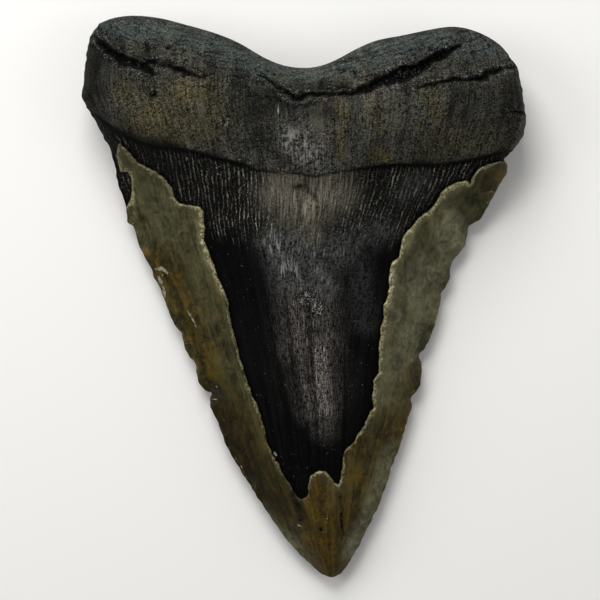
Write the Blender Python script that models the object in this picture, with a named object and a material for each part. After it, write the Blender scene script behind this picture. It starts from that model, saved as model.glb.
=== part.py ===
"""A fossil megalodon tooth, lying on its flat lip-side face with its bulging tongue-side face up.

The tooth is one solid: a blank with enamel all over its crown, less the enamel that has broken away
down to the dentine core, less the cracks in its root and the chips along its cutting edges.
+X is across the tooth, +Y from the tip to the root, +Z up from what it lies on. Metres.
"""
import math

import bmesh
import bpy
import numpy as np
from mathutils import Matrix, Vector, noise
from mathutils.bvhtree import BVHTree

# Driving dimensions
TOOTH_LENGTH = 0.1406
TOOTH_WIDTH = 0.1108
ROOT_THICKNESS = 0.0275
ENAMEL_THICKNESS = 0.0010
CUTTING_EDGE_THICKNESS = 0.0010

# The outlines below are drawn in millimetres, on a tooth of the driving dimensions.
MM = 0.001

# The cutting edges run from the tip up to the corners of the root's two lobes.
LEFT_EDGE = [
    (4.3, -69.4), (-3.4, -61.4), (-10.9, -51.4), (-18.3, -39.0), (-23.8, -27.0), (-28.7, -16.0),
    (-35.0, -0.5), (-39.9, 10.0), (-43.8, 20.5), (-46.6, 30.5), (-50.0, 38.3), (-54.0, 44.6),
    (-55.4, 50.5), (-54.7, 58.0), (-53.6, 64.5), (-50.8, 68.4),
]
RIGHT_EDGE = [
    (9.4, -69.3), (14.8, -59.9), (20.3, -47.8), (24.2, -36.5), (27.8, -25.5), (30.4, -16.0),
    (33.2, -5.7), (37.4, 5.0), (41.9, 15.5), (46.4, 23.6), (50.6, 31.1), (53.6, 37.8),
    (55.4, 44.5), (54.0, 51.5), (52.4, 57.0), (50.3, 61.2),
]
TIP_EDGE = [(4.3, -69.4), (7.0, -70.3), (9.4, -69.3)]
ROOT_EDGE = [
    (-50.8, 68.4), (-43.5, 70.3), (-33.5, 69.0), (-21.0, 65.1), (-11.0, 60.0), (-3.0, 57.4),
    (3.0, 57.8), (14.0, 62.8), (26.5, 65.9), (36.5, 67.5), (44.5, 65.2), (50.3, 61.2),
]

# The neck is the line where the crown meets the root. It runs past the outline at both ends.
NECK = [
    (-57.5, 50.0), (-51.1, 45.5), (-47.3, 42.6), (-41.5, 39.3), (-32.0, 37.2), (-20.4, 34.5),
    (-13.0, 31.8), (-3.0, 30.4), (4.0, 30.2), (13.0, 31.6), (26.0, 33.1), (36.3, 33.7),
    (44.5, 35.5), (48.8, 36.4), (57.5, 37.4),
]
# The broken rim of the enamel, from the right end of the neck, round the tip of the bare dentine and
# up the left side to the bare patch at the shoulder.
ENAMEL_BREAK = [
    (57.5, 33.6), (50.5, 34.3), (45.7, 33.4), (42.2, 31.1), (40.4, 29.2), (34.8, 26.9),
    (31.3, 21.7), (29.2, 20.3), (25.0, 14.7), (23.6, 9.4), (21.9, 9.0), (21.4, 1.5),
    (19.9, -2.2), (19.4, -7.4), (18.8, -12.0), (18.7, -19.2), (17.2, -21.0), (17.4, -27.5),
    (15.3, -32.1), (11.2, -37.5), (9.4, -41.0), (9.2, -47.2), (7.3, -46.3), (6.2, -44.2),
    (4.5, -43.4), (2.5, -44.2), (1.3, -46.0), (1.1, -49.2), (-1.5, -49.9), (-3.4, -47.2),
    (-5.2, -45.1), (-8.5, -39.0), (-9.9, -33.5), (-11.1, -27.5), (-13.0, -24.0), (-14.9, -19.0),
    (-17.6, -8.5), (-19.1, -3.3), (-21.7, 4.0), (-24.7, 12.7), (-25.0, 19.1), (-27.0, 22.6),
    (-31.5, 23.5), (-33.4, 27.7), (-38.2, 31.8), (-41.4, 33.4), (-45.9, 38.0), (-46.5, 34.5),
    (-45.9, 31.8), (-43.7, 31.5), (-43.2, 28.0), (-44.4, 23.2), (-60.0, 20.0), (-62.0, 40.0),
]

# Grid of the blank, the share of its columns and rows that crowd towards its rim, and its form.
COLUMNS, ROWS = 40, 48
COLUMN_CROWDING, ROW_CROWDING = 0.55, 0.5
# Height of the ridge of the upper face, as (share of the way from tip to root, share of the thickness).
RIDGE = [
    (0.0, 0.20), (0.06, 0.30), (0.15, 0.41), (0.30, 0.54), (0.50, 0.68), (0.66, 0.77),
    (0.755, 0.84), (0.82, 0.955), (0.88, 1.0), (0.94, 0.95), (1.0, 0.84),
]
CROWN_RIM_HEIGHT, ROOT_RIM_HEIGHT = 0.0032, 0.0100
ROOT_BEGINS, ROOT_IS_FULL = 0.64, 0.84
TIP_ROUNDING, ROOT_TOP_ROUNDING = 0.07, 0.24
# The lower face bows up off the surface between the root and the tip, and is worn flat where it rests.
BOW_HEIGHT, BOW_FROM, BOW_TO, WEAR = 0.0012, 0.12, 0.70, 0.0005
UNEVENNESS, UNEVEN_PATCH = 0.00045, 0.011
# The cutter for the bare patch is a block less a core, which reaches this far past the tooth's sides.
CORE_OVERLAP = 0.0008

# The crease below the root's rolled top edge: a shallow valley with the cracks along it.
CREASE = [
    (-52.0, 65.0), (-46.0, 60.5), (-38.0, 57.5), (-24.0, 53.8), (-12.0, 51.6), (-4.8, 49.0),
    (6.0, 50.4), (17.0, 51.8), (29.0, 55.6), (38.0, 61.0), (44.0, 63.5),
]
CREASE_DEPTH, CREASE_WIDTH = 0.0012, 0.0026
# Each crack is a run of (x, y, radius).
CRACKS = {
    "left_end": [(-51.8, 64.9, 0.3), (-49.6, 62.4, 0.8), (-46.0, 60.0, 1.1), (-42.0, 58.3, 1.0),
                 (-39.0, 56.9, 0.9), (-37.0, 54.6, 0.3)],
    "left_middle": [(-39.6, 58.6, 0.4), (-37.0, 57.5, 0.7), (-33.5, 56.3, 0.7), (-28.5, 54.8, 0.7),
                    (-24.3, 53.5, 0.3)],
    "centre": [(-5.0, 48.8, 0.3), (-1.0, 49.6, 0.9), (2.0, 50.0, 0.6), (6.5, 50.3, 0.5),
               (10.3, 50.8, 0.5), (14.0, 50.9, 0.8), (17.8, 52.0, 1.1), (21.5, 53.3, 1.4),
               (25.3, 54.5, 1.5), (29.0, 55.4, 1.3), (31.5, 57.2, 1.0), (34.5, 59.5, 1.1),
               (38.3, 61.5, 0.8), (41.0, 62.8, 0.3)],
    "right_end": [(31.5, 51.8, 0.3), (35.3, 53.0, 0.5), (39.5, 53.8, 0.5), (43.3, 54.3, 0.7),
                  (46.5, 55.3, 1.0), (49.2, 56.5, 0.8), (51.8, 57.2, 0.4)],
}
CRACK_SINK = 0.3  # a crack's centre line lies this share of its radius below the surface
# Chips out of the cutting edges, as (x, y, radius): each is centred just outside the outline.
CHIPS = [
    (-24.9, -24.6, 1.9), (-29.9, -14.2, 1.3), (-32.6, -8.4, 1.3), (-44.7, 17.0, 1.5),
    (30.9, -14.0, 2.3), (28.3, -25.2, 1.2), (38.4, 7.4, 1.6), (42.6, 16.6, 1.5),
    (35.2, -2.0, 1.0), (52.8, 34.4, 1.4), (24.4, -42.4, 1.0), (-39.6, 5.4, 1.0),
]
CHIP_HEIGHT = 1.6  # how much taller than wide a chip's cutter is

COLOURS = {  # base colour and roughness
    "root": ((0.052, 0.050, 0.045), 0.62),
    "enamel": ((0.105, 0.100, 0.070), 0.38),
    "dentine": ((0.016, 0.015, 0.015), 0.50),
}


def clear_scene():
    for thing in list(bpy.data.objects):
        bpy.data.objects.remove(thing)


def new_collection(name):
    made = bpy.data.collections.new(name)
    bpy.context.scene.collection.children.link(made)
    return made


def new_material(name):
    """A Principled BSDF with one of the tooth's colours."""
    colour, roughness = COLOURS[name]
    made = bpy.data.materials.new(name)
    made.use_nodes = True
    shader = made.node_tree.nodes["Principled BSDF"]
    shader.inputs["Base Color"].default_value = (*colour, 1)
    shader.inputs["Roughness"].default_value = roughness
    made.diffuse_color = (*colour, 1)
    return made


def smooth_curve(points, steps=16):
    """A Catmull-Rom curve through the points, as a dense list of points."""
    p = np.array(points, float)
    p = np.vstack([2 * p[0] - p[1], p, 2 * p[-1] - p[-2]])
    t = np.arange(steps)[:, None] / steps
    runs = []
    for a, b, c, d in zip(p, p[1:], p[2:], p[3:]):
        runs.append(b + t * ((c - a) + t * (2 * a - 5 * b + 4 * c - d + t * (3 * b - a - 3 * c + d))) / 2)
        runs[-1][0] = b
    return np.vstack([*runs, p[-2:-1]])


def along(curve, share):
    """Points at these shares of the curve's length."""
    run = np.concatenate([[0], np.cumsum(np.linalg.norm(np.diff(curve, axis=0), axis=1))])
    at = share * run[-1]
    return np.stack([np.interp(at, run, curve[:, i]) for i in range(2)], axis=-1)


def eased(share):
    share = np.clip(share, 0, 1)
    return share * share * (3 - 2 * share)


def mix(a, b, share):
    return a + (b - a) * share


def distance_to(x, y, path):
    """How far each point (x, y) is from the path of straight runs."""
    here = np.stack([x, y], axis=-1)[..., None, :]
    start, run = path[:-1], np.diff(path, axis=0)
    share = np.clip(((here - start) * run).sum(-1) / (run * run).sum(-1), 0, 1)
    return np.linalg.norm(here - start - share[..., None] * run, axis=-1).min(-1)


def plan(u, v):
    """Plan point for u across and v along the tooth: a patch stretched between its four edges."""
    left, right = (along(smooth_curve(edge), v) for edge in (LEFT_EDGE, RIGHT_EDGE))
    tip, root = (along(smooth_curve(edge), u) for edge in (TIP_EDGE, ROOT_EDGE))
    u, v = u[:, None], v[:, None]
    corners = (1 - v) * mix(left[:1] * 0 + LEFT_EDGE[0], np.array(RIGHT_EDGE[0]), u) + v * mix(
        np.array(LEFT_EDGE[-1]), np.array(RIGHT_EDGE[-1]), u
    )
    return (mix(left, right, u) + mix(tip, root, v) - corners) * MM


def rounded(share):
    """The height of a quarter circle, from 0 at share 0 to 1 at share 1."""
    return np.sqrt(1 - (1 - np.clip(share, 0, 1)) ** 2)


def face_heights(u, v, x, y):
    """Heights of the upper and lower face."""
    side = np.abs(2 * u - 1)
    rootness = eased((v - ROOT_BEGINS) / (ROOT_IS_FULL - ROOT_BEGINS))
    rim = mix(CROWN_RIM_HEIGHT, ROOT_RIM_HEIGHT, rootness)
    ends = rounded(v / TIP_ROUNDING) * rounded((1 - v) / ROOT_TOP_ROUNDING) ** 0.8
    ridge_curve = smooth_curve(RIDGE)
    ridge = np.interp(v, ridge_curve[:, 0], ridge_curve[:, 1]) * ROOT_THICKNESS
    # The crown is a lens with slightly hollow flanks, and the root a full loaf that thins to its lobes.
    across = (1 - side ** mix(2.0, 3.4, rootness)) ** mix(1.15, 0.5, rootness)
    lobes = 1 - 0.22 * rootness * side**2
    patches = [noise.noise(Vector((px, py, 0)) / UNEVEN_PATCH) for px, py in zip(x, y)]
    valley = CREASE_DEPTH * np.exp(-((distance_to(x, y, np.array(CREASE) * MM) / CREASE_WIDTH) ** 2))
    upper = rim + ((ridge - rim) * lobes + UNEVENNESS * np.array(patches) - valley) * across * ends

    belly = (1 - side ** mix(2.6, 7.0, rootness)) ** mix(0.9, 0.5, rootness)
    bow = BOW_HEIGHT * np.sin(math.pi * np.clip((v - BOW_FROM) / (BOW_TO - BOW_FROM), 0, 1))
    under = rim - (rim - bow + WEAR) * belly * rounded(v / TIP_ROUNDING) * rounded((1 - v) / 0.12)
    half_edge = CUTTING_EDGE_THICKNESS / 2
    return upper + half_edge, np.maximum(under - half_edge, 0)


def tooth_form(sink=0.0, overlap=0.0):
    """The closed form of the tooth as a bmesh. For the dentine core its upper face is sunk by sink, and its
    sides and lower face stand out past the tooth's own by overlap."""
    bm = bmesh.new()
    bmesh.ops.create_grid(bm, x_segments=COLUMNS, y_segments=ROWS, size=1)
    raised = bmesh.ops.extrude_face_region(bm, geom=bm.faces[:], use_keep_orig=True)["geom"]
    top = [part for part in raised if isinstance(part, bmesh.types.BMVert)]
    bottom = [vert for vert in bm.verts if vert not in set(top)]
    for verts, is_top in ((top, True), (bottom, False)):
        square = (np.array([vert.co.xy for vert in verts]) + 1) / 2
        u = mix(square[:, 0], (1 - np.cos(math.pi * square[:, 0])) / 2, COLUMN_CROWDING)
        v = mix(square[:, 1], np.sin(math.pi / 2 * square[:, 1]), ROW_CROWDING)
        x, y = plan(u, v).T
        upper, lower = face_heights(u, v, x, y)
        upper = upper - np.minimum(sink, 0.4 * (upper - lower))
        grown = 1 + overlap / (TOOTH_WIDTH / 2)
        for vert, *place in zip(verts, x * grown, y * grown, upper if is_top else lower - overlap):
            vert.co = place
    bmesh.ops.recalc_face_normals(bm, faces=bm.faces)
    return bm


def to_object(name, bm, collection):
    mesh = bpy.data.meshes.new(name)
    bm.to_mesh(mesh)
    bm.free()
    made = bpy.data.objects.new(name, mesh)
    collection.objects.link(made)
    return made


def hide_helper(helper):
    helper.hide_render = True
    helper.display_type = "WIRE"
    return helper


def boolean(target, cutter, operation="DIFFERENCE"):
    """Cuts target with cutter, or joins them, and keeps the result as target's own mesh."""
    modifier = target.modifiers.new(cutter.name, "BOOLEAN")
    modifier.object = cutter
    modifier.operation = operation
    modifier.material_mode = "TRANSFER"
    graph = bpy.context.evaluated_depsgraph_get()
    target.data = bpy.data.meshes.new_from_object(target.evaluated_get(graph))
    target.modifiers.clear()


def bare_patch(cutters):
    """The enamel that has broken away: a straight-sided block over the patch, less the dentine core."""
    bm = bmesh.new()
    outline = [*NECK, *ENAMEL_BREAK]
    ring = [bm.verts.new((x * MM, y * MM, -CORE_OVERLAP / 2)) for x, y in outline]
    floor = bm.faces.new(ring)
    lifted = bmesh.ops.extrude_face_region(bm, geom=[floor], use_keep_orig=True)["geom"]
    bmesh.ops.translate(
        bm, vec=(0, 0, 2 * ROOT_THICKNESS), verts=[v for v in lifted if isinstance(v, bmesh.types.BMVert)]
    )
    bmesh.ops.recalc_face_normals(bm, faces=bm.faces)
    patch = hide_helper(to_object("bare_patch", bm, cutters))
    core = hide_helper(to_object("dentine_core", tooth_form(ENAMEL_THICKNESS, CORE_OVERLAP), cutters))
    patch.data.materials.append(bpy.data.materials["enamel"])
    core.data.materials.append(bpy.data.materials["dentine"])
    boolean(patch, core)
    return patch


def crack_cutter(name, run, surface, cutters):
    """A tube of changing radius that follows the tooth's upper surface."""
    path = bpy.data.curves.new(name, "CURVE")
    path.dimensions = "3D"
    path.bevel_depth = MM
    path.bevel_resolution = 1
    path.use_fill_caps = True
    spline = path.splines.new("POLY")
    spline.points.add(len(run) - 1)
    for point, (x, y, radius) in zip(spline.points, run):
        hit = surface.ray_cast(Vector((x * MM, y * MM, 0.1)), Vector((0, 0, -1)))[0]
        point.co = (x * MM, y * MM, hit.z - CRACK_SINK * radius * MM, 1)
        point.radius = radius
    tube = bpy.data.objects.new(name + "_path", path)
    cutters.objects.link(tube)
    graph = bpy.context.evaluated_depsgraph_get()
    bm = bmesh.new()
    bm.from_mesh(bpy.data.meshes.new_from_object(tube.evaluated_get(graph)))
    bpy.data.objects.remove(tube)
    bmesh.ops.remove_doubles(bm, verts=bm.verts, dist=1e-6)
    bmesh.ops.recalc_face_normals(bm, faces=bm.faces)
    cutter = hide_helper(to_object(name, bm, cutters))
    cutter.data.materials.append(bpy.data.materials["root"])
    return cutter


def chip_cutter(number, x, y, radius, cutters):
    """An egg-shaped bite, taller than wide, across a cutting edge."""
    bm = bmesh.new()
    shape = Matrix.Diagonal((radius * MM, radius * MM, radius * MM * CHIP_HEIGHT, 1))
    place = Matrix.Translation((x * MM, y * MM, CROWN_RIM_HEIGHT)) @ Matrix.Rotation(0.3 * number, 4, "Z")
    bmesh.ops.create_icosphere(bm, subdivisions=1, radius=1, matrix=place @ shape)
    cutter = hide_helper(to_object(f"chip_{number}", bm, cutters))
    cutter.data.materials.append(bpy.data.materials["enamel"])
    return cutter


def tooth():
    """The tooth, with its three finishes on its faces."""
    part, cutters = new_collection("megalodon_tooth"), new_collection("cutters")
    for name in COLOURS:
        new_material(name)
    blank = tooth_form()
    surface = BVHTree.FromBMesh(blank)
    made = to_object("tooth", blank, part)
    made.data.materials.append(bpy.data.materials["root"])
    made.data.materials.append(bpy.data.materials["enamel"])
    neck = np.array(NECK) * MM
    for face in made.data.polygons:
        face.material_index = int(face.center.y < np.interp(face.center.x, neck[:, 0], neck[:, 1]))
    boolean(made, bare_patch(cutters))
    for name, run in CRACKS.items():
        boolean(made, crack_cutter(name, run, surface, cutters))
    for number, (x, y, radius) in enumerate(CHIPS):
        boolean(made, chip_cutter(number, x, y, radius, cutters))
    made.data.shade_smooth()
    made.data.set_sharp_from_angle(angle=math.radians(40))
    return made


def centre_on_box(thing):
    """Puts the origin below the middle of the tooth's box, at the level that it lies on."""
    places = np.array([vert.co for vert in thing.data.vertices])
    low, high = places.min(0), places.max(0)
    thing.data.transform(Matrix.Translation((-(low[0] + high[0]) / 2, -(low[1] + high[1]) / 2, -low[2])))
    print("length", high[1] - low[1], "of", TOOTH_LENGTH, "width", high[0] - low[0], "of", TOOTH_WIDTH)


clear_scene()
centre_on_box(tooth())
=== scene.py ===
# %% [markdown]
# # A fossil megalodon tooth
#
# A shark's tooth is one piece: a root of bone-like dentine, and a crown of dentine under a millimetre of
# glassy enamel. On this one the enamel has spalled off the middle of the blade and left a black window,
# framed by the enamel that still holds on along both cutting edges and over the tip.
#
# It lies on its flat lip-side face and shows its bulging tongue-side face. +X is across it, +Y runs from the
# tip to the root and +Z is up. The lesson works in millimetres, which become metres when the finished shape
# is made.

# %% Load the solid model that this lesson dresses
import math

import bmesh
import bpy
import numpy as np
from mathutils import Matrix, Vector, noise


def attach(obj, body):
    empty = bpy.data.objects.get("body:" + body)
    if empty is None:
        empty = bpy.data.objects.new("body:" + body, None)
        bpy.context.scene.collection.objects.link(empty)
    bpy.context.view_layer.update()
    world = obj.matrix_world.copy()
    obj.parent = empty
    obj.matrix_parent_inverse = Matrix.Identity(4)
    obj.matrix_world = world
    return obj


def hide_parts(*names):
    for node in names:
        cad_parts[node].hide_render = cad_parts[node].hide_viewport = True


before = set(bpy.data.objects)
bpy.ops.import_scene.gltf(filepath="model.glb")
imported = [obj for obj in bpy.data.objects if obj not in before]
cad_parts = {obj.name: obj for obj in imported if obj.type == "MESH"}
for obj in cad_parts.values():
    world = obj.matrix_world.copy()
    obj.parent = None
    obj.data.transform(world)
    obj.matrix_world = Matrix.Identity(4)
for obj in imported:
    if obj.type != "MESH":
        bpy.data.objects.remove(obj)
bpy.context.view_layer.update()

MM = 0.001

# %% [markdown]
# ## The outline
#
# Seen square on, the tooth has four edges: two cutting edges, the narrow tip and the saddle-shaped top of
# the root. Each is a list of points, as a maker would mark them on tracing paper. A Catmull-Rom curve passes
# through every mark, so the marks stay the only thing to edit.

# %% Mark the four edges
LEFT_EDGE = [
    (4.3, -69.4), (-1.8, -63.7), (-5.2, -59.7), (-11.8, -50), (-18.5, -39.2), (-20.4, -34.7),
    (-22.1, -30.5), (-23.6, -27.3), (-23.7, -25.4), (-23.1, -23.9), (-24.9, -23.3), (-26.6, -20.7),
    (-27.5, -16.2), (-28.9, -14.8), (-30.4, -11.1), (-30.7, -9), (-32, -7.5), (-33.3, -5.2), (-35.1, -0.5),
    (-36.2, 2.3), (-37.8, 5.3), (-38.6, 7.7), (-40.3, 10.7), (-42.3, 15.7), (-42.8, 18), (-44.4, 19.1),
    (-44.4, 21.6), (-45.2, 24.5), (-46.6, 28.5), (-47.2, 32.5), (-48.2, 36.5), (-50.2, 40.5), (-52.3, 44.5),
    (-54.6, 48.4), (-55.3, 50.8), (-54.8, 54.5), (-54.3, 59.5), (-53.6, 63.5), (-52.6, 66.2), (-50.8, 68.4),
]
RIGHT_EDGE = [
    (9.4, -69.3), (11.5, -66.3), (15.5, -59), (19.5, -50.3), (22.7, -40.9), (23.5, -39.2), (26.1, -30.9),
    (27.2, -27), (26.9, -25.3), (28.3, -23.6), (29.4, -20.6), (29.7, -16.6), (29, -15.2), (29.3, -13.9),
    (30.3, -12.7), (31.9, -10), (32.9, -6.8), (34.4, -0.9), (34.6, 1.4), (35.9, 3.2), (36.7, 5), (36.9, 8),
    (37.8, 9.7), (39.7, 11.9), (40.7, 13.7), (41.1, 16.2), (41.4, 17.9), (42.7, 18.8), (44.3, 19.9),
    (45.6, 22), (48.6, 27.7), (50.5, 31), (50.8, 33.1), (49.9, 34.6), (51.2, 36), (52.8, 37.8),
    (54.6, 40.7), (55.3, 44.2), (54.8, 48.5), (54, 53.5), (52.9, 57.6), (50.3, 61.2),
]
TIP_EDGE = [(4.3, -69.4), (7, -70.3), (9.4, -69.3)]
ROOT_EDGE = [
    (-50.8, 68.4), (-47, 69.8), (-42, 70.3), (-36, 69.7), (-30, 68.2), (-22, 65.9), (-16, 63.4),
    (-10, 59.9), (-5, 57.9), (0, 57.3), (4, 57.8), (8, 59.3), (13, 62), (18, 64.1), (25, 65.5), (34, 67.3),
    (39, 67.4), (44, 65.9), (48, 63.6), (50.3, 61.2),
]


def smooth_curve(marks, steps=8):
    """A dense Catmull-Rom curve through the marks."""
    p = np.array(marks, float)
    p = np.vstack([2 * p[0] - p[1], p, 2 * p[-1] - p[-2]])
    t = np.arange(steps)[:, None] / steps
    runs = []
    for a, b, c, d in zip(p, p[1:], p[2:], p[3:]):
        runs.append(b + t * ((c - a) + t * (2 * a - 5 * b + 4 * c - d + t * (3 * b - a - 3 * c + d))) / 2)
    return np.vstack([*runs, p[-2:-1]])


def along(curve, share):
    """Points at these shares of the curve's length."""
    run = np.concatenate([[0], np.cumsum(np.linalg.norm(np.diff(curve, axis=0), axis=1))])
    return np.stack([np.interp(share * run[-1], run, curve[:, i]) for i in range(2)], axis=-1)


for title, edge in (("left", LEFT_EDGE), ("right", RIGHT_EDGE)):
    curve = smooth_curve(edge)
    print(title, "cutting edge:", round(float(np.linalg.norm(np.diff(curve, axis=0), axis=1).sum()), 1), "mm")

# %% [markdown]
# ## One sheet stretched over the outline
#
# Both faces start as one flat grid, doubled by an extrusion so that a thin wall joins them all round. A grid
# is chosen over a subdivided ball because its lines fan out from the tip to the root as the grain of the
# real tooth does, and that gives the grain its own UV map.

# %% Make the grid and find where each point belongs
COLUMNS, ROWS = 178, 256
RIM_CROWDING, ROOT_CROWDING = 0.30, 0.35
EDGE_SAMPLES, EDGE_SOFTENING = 400, 13  # points of a softened edge, and how many of them it is smoothed over
NOTCH_REACH = 18  # the higher, the sooner a notch in the cutting edge dies away inwards
CHATTER, CHATTER_LENGTH = 0.30, 1.5  # how far the worn serrations stand out, and how long each is, in mm


def mix(a, b, share):
    return a + (b - a) * share


def eased(share):
    share = np.clip(share, 0, 1)
    return share * share * (3 - 2 * share)


def lumps(spots, size, seed=0.0):
    """Smooth random values from -1 to 1 with features of this size, in millimetres."""
    return np.array([noise.noise((x / size, y / size, seed)) for x, y in spots])


def softened(curve):
    """The curve with its notches smoothed away and its ends kept."""
    even = along(curve, np.linspace(0, 1, EDGE_SAMPLES))
    reach = 3 * EDGE_SOFTENING
    padded = np.vstack([2 * even[0] - even[reach:0:-1], even, 2 * even[-1] - even[-2:-reach - 2:-1]])
    weights = np.exp(-0.5 * (np.arange(-reach, reach + 1) / EDGE_SOFTENING) ** 2)
    return np.stack([np.convolve(padded[:, i], weights / weights.sum(), "valid") for i in range(2)], axis=-1)


def plan(u, v):
    """Where the shares u, across, and v, from tip to root, lie on the sheet: it hangs from all four edges.

    The sheet hangs from softened cutting edges, and each notch is added to the points near it.
    """
    edges = [smooth_curve(edge) for edge in (LEFT_EDGE, RIGHT_EDGE)]
    left, right = (along(softened(edge), v) for edge in edges)
    left_notch, right_notch = along(edges[0], v) - left, along(edges[1], v) - right
    left_notch[:, 0] += CHATTER * lumps(along(edges[0], v), CHATTER_LENGTH)
    right_notch[:, 0] += CHATTER * lumps(along(edges[1], v), CHATTER_LENGTH)
    tip, root = along(smooth_curve(TIP_EDGE), u), along(smooth_curve(ROOT_EDGE), u)
    corner = [np.array(edge[end]) for edge in (LEFT_EDGE, RIGHT_EDGE) for end in (0, -1)]
    u, v = u[:, None], v[:, None]
    corners = mix(mix(corner[0], corner[2], u), mix(corner[1], corner[3], u), v)
    notches = left_notch * (1 - u) ** NOTCH_REACH + right_notch * u**NOTCH_REACH
    return mix(left, right, u) + mix(tip, root, v) - corners + notches


sheet = bmesh.new()
bmesh.ops.create_grid(sheet, x_segments=COLUMNS, y_segments=ROWS, size=1)
doubled = bmesh.ops.extrude_face_region(sheet, geom=sheet.faces[:], use_keep_orig=True)["geom"]
upper_verts = {part for part in doubled if isinstance(part, bmesh.types.BMVert)}
sheet.verts.index_update()
is_upper = np.array([vert in upper_verts for vert in sheet.verts])
square = (np.array([vert.co.xy for vert in sheet.verts]) + 1) / 2
across = mix(square[:, 0], (1 - np.cos(math.pi * square[:, 0])) / 2, RIM_CROWDING)
onward = mix(square[:, 1], np.sin(math.pi / 2 * square[:, 1]), ROOT_CROWDING)
places = plan(across, onward)
print(len(sheet.verts), "points and", len(sheet.faces), "faces")

# %% [markdown]
# ## Where the enamel has gone
#
# The break is another marked line. Its height is a step, and a step that crosses a grid at random turns
# into stairs. So the points that are nearly on the line are nudged to one side or the other, and a little
# noise makes it ragged like snapped glass. A Boolean would also cut the window, but it would lose the fanned
# grain.

# %% Mark the neck and the break, and snap the points to them
NECK = [
    (-57.5, 50), (-51.1, 45.5), (-47.3, 42.6), (-43.3, 40.2), (-39, 38.2), (-34.2, 37.3), (-28.2, 36.4),
    (-21.7, 34.6), (-15.2, 32.9), (-10.8, 31.3), (-2.2, 30.5), (2.1, 29.9), (7.3, 30.7), (13, 31.6),
    (18.2, 32.5), (22.5, 32.9), (33.3, 33.1), (39.8, 34.2), (45.5, 35.5), (49.4, 36.6), (57.5, 37.4),
]
BREAK_LINE = [
    (57.5, 33.6), (50.5, 34.3), (46.5, 33.3), (43.8, 32), (41.7, 30.3), (41.2, 28.3), (40.4, 29.2),
    (38.2, 28.7), (35.5, 27.3), (33.8, 25.3), (32.2, 22.7), (29.8, 20.7), (28.2, 19), (26.2, 17),
    (24.8, 15.3), (24.3, 13), (23.7, 10), (22.2, 9), (21.5, 6.7), (21.2, 2.7), (20.7, -0.3), (19.8, -2.3),
    (19.8, -6.3), (19.3, -7.4), (18.8, -12.9), (18.8, -18.9), (17.5, -20.3), (17.1, -24.3), (17.5, -27.7),
    (16.4, -28.4), (15.2, -31.8), (13.5, -34), (12.5, -36), (10.5, -38), (9.7, -40.3), (9.5, -44),
    (8.8, -46.7), (7.4, -46.1), (6.3, -44.4), (5.2, -43.2), (3, -43.3), (1.6, -44.1), (1.4, -46.3),
    (1, -49), (-0.5, -50.2), (-2, -50), (-3.2, -47.3), (-4.2, -45.7), (-5.7, -43.3), (-7, -40.5),
    (-8.7, -37.2), (-9.8, -34.4), (-10.4, -30.6), (-11.3, -27.7), (-12.7, -24.9), (-14.2, -21.7),
    (-15, -17.7), (-16.2, -14), (-17.3, -10), (-18.5, -4.7), (-18.8, -1.3), (-19.8, 1.7), (-21.3, 4.7),
    (-22.2, 7.3), (-23.8, 11.3), (-25, 14), (-24.8, 17.3), (-25.1, 21.2), (-25.8, 22.2), (-27.2, 22.7),
    (-29.5, 23), (-31.5, 23.7), (-32.2, 25), (-33.2, 27.7), (-34.8, 29.7), (-36.8, 31), (-39.2, 32.3),
    (-41.2, 33.5), (-43.5, 35.7), (-45.8, 38.2), (-46.5, 35.5), (-45.8, 31.6), (-43.8, 31.7), (-42.8, 29.3),
    (-43.2, 24.5), (-44.6, 22.4), (-60, 20), (-62, 40),
]
WALL_HALF_WIDTH = 0.30
RAGGEDNESS = ((2.6, 0.34), (1.1, 0.30))  # feature size and reach of the ragged line, in mm


def to_path(spots, path):
    """Each spot's distance to the path, the nearest point of it, and how many runs along that lies."""
    path = np.array(path, float)
    start, run = path[:-1], np.diff(path, axis=0)
    share = np.clip(((spots[:, None] - start) * run).sum(-1) / (run * run).sum(-1), 0, 1)
    foot = start + share[..., None] * run
    gap = np.linalg.norm(spots[:, None] - foot, axis=-1)
    row, nearest = np.arange(len(spots)), gap.argmin(1)
    return gap[row, nearest], foot[row, nearest], nearest + share[row, nearest]


def is_inside(spots, outline):
    """True for each spot inside the closed outline."""
    a = np.array(outline, float)
    b = np.roll(a, -1, axis=0)
    rise = np.where(b[:, 1] == a[:, 1], 1, b[:, 1] - a[:, 1])
    x, y = spots[:, :1], spots[:, 1:]
    crossed = ((a[:, 1] > y) != (b[:, 1] > y)) & (x < (b[:, 0] - a[:, 0]) * (y - a[:, 1]) / rise + a[:, 0])
    return crossed.sum(1) % 2 == 1


window = [*NECK, *BREAK_LINE]
ring = [*window, window[0]]


def depth_inside(spots):
    """Millimetres inside the window, less than nothing outside it, and the direction that leads inwards."""
    gap, foot, _ = to_path(spots, ring)
    sign = np.where(is_inside(spots, window), 1, -1)
    ragged = sum(reach * lumps(spots, size, size) for size, reach in RAGGEDNESS)
    return sign * gap + ragged, (spots - foot) * (sign / np.maximum(gap, 1e-6))[:, None]


inward_mm, inwards = depth_inside(places)
nearly = is_upper & (np.abs(inward_mm) < WALL_HALF_WIDTH)
target = np.where(inward_mm > 0, WALL_HALF_WIDTH, -WALL_HALF_WIDTH)
places[nearly] += inwards[nearly] * (target - inward_mm)[nearly, None]
inward_mm = np.where(nearly, target, inward_mm)
bare = ((inward_mm > 0) & is_upper).astype(float)
neck = smooth_curve(NECK)
root_mm = places[:, 1] - np.interp(places[:, 0], neck[:, 0], neck[:, 1])
print(int(nearly.sum()), "points moved onto the broken edge,", int(bare.sum()), "on bare dentine")

# %% [markdown]
# ## The swell of the two faces
#
# The tongue-side face is a long lens over the blade that swells into a full, loaf-like root. The lip-side
# face is nearly flat. Both are heights over the sheet, worked out from how far a point is to the side and on
# from the tip, so the same few numbers shape every row.

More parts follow.
